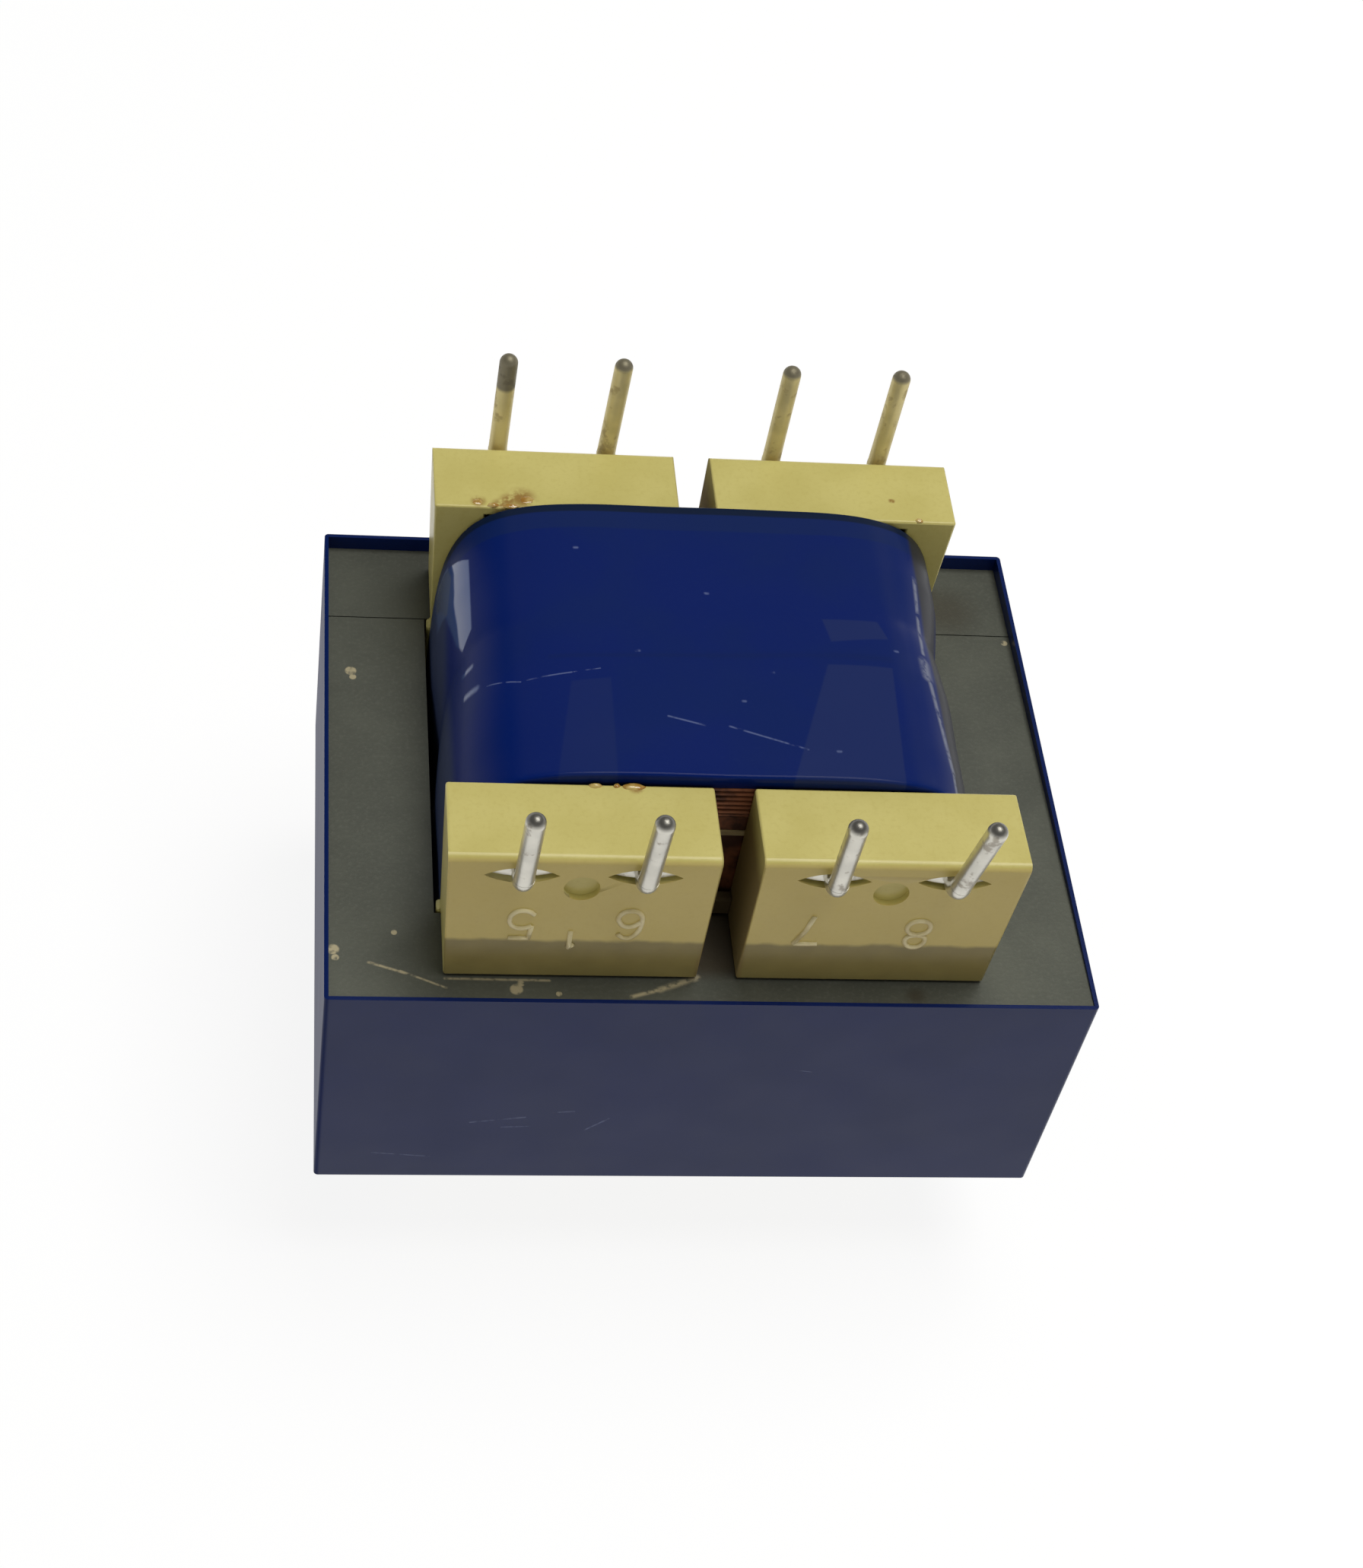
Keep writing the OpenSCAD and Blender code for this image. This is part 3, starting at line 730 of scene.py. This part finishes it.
def section_point(y, angle, inset):
    """The point of the squarish section that lies in direction angle from its centre."""
    side = 1 if math.cos(angle) >= 0 else -1
    reach = (abs(math.cos(angle)) ** squareness + abs(math.sin(angle)) ** squareness) ** (-1 / squareness)
    up = wrap_high.z + crown - mid_z if math.sin(angle) >= 0 else mid_z - wrap_low.z
    return Vector(((half_width(y, side) - inset) * reach * math.cos(angle), y,
                   mid_z + (up - inset) * reach * math.sin(angle)))

def section_ring(y, inset, steps):
    """The whole section at place y, as a ring of points."""
    return [section_point(y, 2 * math.pi * k / steps, inset) for k in range(steps)]

print("half widths at the middle:", [round(half_width(0, side), 2) for side in (-1, 1)])

# %% Tape round the coil
rim_depth = 0.85
rim_round = 0.16
rim_steps = 6
lengthwise = 64
inner_rows = 12
around = 240
ripple_height = 0.08
ripple_sink = 0.06

rim = []
for k in range(rim_steps + 1):
    turn = math.pi / 2 * k / rim_steps
    rim.append((coil_half - rim_round * (1 - math.sin(turn)), rim_round * (1 - math.cos(turn))))
straight = coil_half - rim_round
outer = [(-y, inset) for y, inset in reversed(rim)]
outer += [(-straight + 2 * straight * k / lengthwise, 0.0) for k in range(1, lengthwise)]
outer += rim
inner = [(coil_half - 2 * coil_half * k / inner_rows, rim_depth) for k in range(inner_rows + 1)]

def rippled(point):
    """Moves a point of the outer skin a little in or out, so that the film isn't quite even."""
    swell = noise.noise(Vector((point.x * 0.20, point.y * 0.30, point.z * 0.20)))
    inward = Vector((-point.x, 0, mid_z - point.z)).normalized()
    return point - inward * (swell * ripple_height - ripple_sink)

wrap_points = [rippled(point) for y, inset in outer for point in section_ring(y, inset, around)]
wrap_points += [point for y, inset in inner for point in section_ring(y, inset, around)]
wrap_faces = ring_faces(len(outer) + len(inner), around, closed=True)
coil_wrap = make_piece("coil_wrap", (wrap_points, wrap_faces), coil_blue)
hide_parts("coil_tape")
print("coil wrap faces:", len(wrap_faces))

# %% [markdown]
# ## Turns of wire at the ends of the coil
# Between the two blocks of one end the wound wire shows. Each turn passes as a half-round
# ridge, so rings of wire follow the coil's section, one inside the other from the film in.

# %% Copper finish
dark_enamel, bright_enamel = (0.055, 0.020, 0.010), (0.24, 0.085, 0.035)
copper = Finish("enamelled_copper", Metallic=0.6)
shade = copper.noise(0.8, 3, 0.6)
copper.set(Base_Color=copper.mix(shade.fade(0.35, 0.65), dark_enamel, bright_enamel),
           Roughness=shade * 0.2 + 0.3)
nodes["primary_winding"].data.materials[0] = copper.material
print("copper finish has", len(copper.tree.nodes), "nodes")

# %% Wound wire, tucked in behind the film
flank = 9.0
flank_squeeze = 0.8
wire_end = coil_half - 0.08
end_room = 0.2
wound_mesh = nodes["secondary_winding"].data.copy()
for vertex in wound_mesh.vertices:
    if vertex.co.x > flank * MM:
        vertex.co.x = flank * MM + (vertex.co.x - flank * MM) * flank_squeeze
    if wire_end * MM < abs(vertex.co.y) < (wire_end + end_room) * MM:
        vertex.co.y = math.copysign(wire_end * MM, vertex.co.y)
wound_mesh.materials.clear()
wound_mesh.materials.append(copper.material)
wound = link(bpy.data.objects.new("wound_wire", wound_mesh))
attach(wound, "root")
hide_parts("secondary_winding")
print("wound wire:", len(wound_mesh.vertices), "corners, ends at", round(wire_end, 2))

# %% End turns
wire_thick = 0.30
turns_per_end = 7
turn_steps = 96
turn_back = 0.12
wobble_most = 0.04
random.seed(5)
rings = []
for side in (-1, 1):
    for layer in range(turns_per_end):
        inset = rim_depth + wire_thick * (layer + 0.5)
        wobble = random.uniform(-wobble_most, wobble_most)
        ring = section_ring(side * (coil_half - turn_back + wobble), inset, turn_steps)
        rings.append(tube(ring, wire_thick / 2, closed=True))
end_turns = make_piece("winding_end_turns", gather(rings), copper)
print("end turns:", len(rings), "faces:", len(end_turns.data.polygons))

# %% [markdown]
# ## Film, pins and solder
# These solids keep their own shape and only get a finish. The pins are tinned wire: those
# in front are still bright, those at the back are painted yellow as a painted reflection of
# the yellow blocks, and each tip is dark, because cutting the wire left it without tin. The
# finish finds the tip by its height.

# %% Film between the windings
film = Finish("barrier_film", Roughness=0.3)
film.set(Base_Color=film.mix(film.noise(0.7).fade(0.3, 0.7), (0.30, 0.22, 0.10), (0.40, 0.32, 0.16)))
nodes["winding_barrier"].data.materials[0] = film.material
print("film finished")

# %% Pins
bare_wire = (0.10, 0.095, 0.085)

def pin_finish(name, bright, dull, tip_length, metal=0.85, rough=0.30):
    """Tinned wire: bright, with dull freckles, and a cut tip that has lost its tin."""
    pin = Finish(name, Metallic=metal, Specular_IOR_Level=0.5)
    freckles = pin.noise(1.4, 3, 0.6).fade(0.56, 0.68)
    cloud = pin.noise(0.9, 2).fade(0.3, 0.7)
    colour = pin.mix(cloud, bright, tuple(v * 0.84 for v in bright))
    colour = pin.mix(freckles * 0.6, colour, dull)
    tip = pin.z.fade(pin_top - tip_length - 0.15, pin_top - tip_length + 0.1)
    pin.set(Base_Color=pin.mix(tip * 0.8, colour, bare_wire),
            Roughness=freckles * 0.2 + tip * 0.05 + rough)
    pin.relief(pin.noise(2.5, 2, 0.6), depth=0.02, strength=0.4)
    return pin

# Painted reflection: the back pins' tin is painted yellow for the yellow blocks it mirrors.
bobbin_reflection_yellow, bobbin_reflection_dull = (0.72, 0.62, 0.30), (0.42, 0.33, 0.16)
front_tin = pin_finish("front_pin_tin", (0.70, 0.68, 0.60), (0.27, 0.23, 0.18), 0.28)
back_tin = pin_finish("back_pin_tin", bobbin_reflection_yellow, bobbin_reflection_dull, 0.35, 0.5, 0.45)
bare_tin = pin_finish("bare_pin_tin", bobbin_reflection_yellow, bobbin_reflection_dull, 1.7, 0.5, 0.45)
pin_tins = [back_tin] * 3 + [bare_tin] + [front_tin] * 4
for number, tin in enumerate(pin_tins, 1):
    nodes[f"terminal_pin_{number}"].data.materials[0] = tin.material
print("pins finished:", len(pin_tins))

# %% Solder joints
solder = Finish("solder", Metallic=1.0)
solder.set(Base_Color=solder.mix(solder.noise(2.0).fade(0.4, 0.6), (0.55, 0.55, 0.53), (0.34, 0.33, 0.30)),
           Roughness=solder.noise(3.0) * 0.2 + 0.2)
for number in (1, 4, 6, 7):
    nodes[f"solder_joint_{number}"].data.materials[0] = solder.material
print("solder joints finished")

# %% [markdown]
# ## Traces of flux
# Soldering the leads has left small amber beads on the inner top edges of the blocks. Each
# is a flattened ball with an uneven skin, sunk into the plastic by half.

# %% Flux beads
amber, clear_amber = (0.36, 0.17, 0.02), (0.60, 0.44, 0.14)
flux = Finish("flux", Specular_IOR_Level=0.6, Roughness=0.12, Coat_Weight=0.5)
flux.set(Base_Color=flux.mix(flux.noise(1.5, 3).fade(0.35, 0.65), amber, clear_amber))

# Each bead's place as seen from above, then its three half lengths.
bead_spots = [((-4.5, -8.72), (0.50, 0.20, 0.13)), ((-5.25, -8.68), (0.16, 0.13, 0.10)),
              ((-6.2, -8.7), (0.30, 0.14, 0.14)), ((-9.95, 8.75), (0.28, 0.14, 0.12)),
              ((-9.1, 8.72), (0.42, 0.16, 0.10)), ((-8.3, 9.2), (0.34, 0.26, 0.06)),
              ((-10.7, 8.95), (0.26, 0.2, 0.05)), ((10.9, 8.75), (0.2, 0.14, 0.08))]
bead_sink = 0.02
bead_swell = 0.25

def flux_bead(x, y, radii):
    """A flattened ball with an uneven skin on top of a block."""
    ball = bmesh.new()
    bmesh.ops.create_icosphere(ball, subdivisions=3, radius=1)
    corners = []
    for corner in ball.verts:
        swell = 1 + bead_swell * noise.noise(corner.co * 1.7 + Vector((x, y, 0)))
        offset = Vector([c * r * swell for c, r in zip(corner.co, radii)])
        corners.append(Vector((x, y, block_top - bead_sink)) + offset)
    faces = [tuple(v.index for v in face.verts) for face in ball.faces]
    ball.free()
    return corners, faces

drops = [flux_bead(x, y, radii) for (x, y), radii in bead_spots]
flux_beads = make_piece("flux_beads", gather(drops), flux)
print("flux beads:", len(drops), "faces:", len(flux_beads.data.polygons))
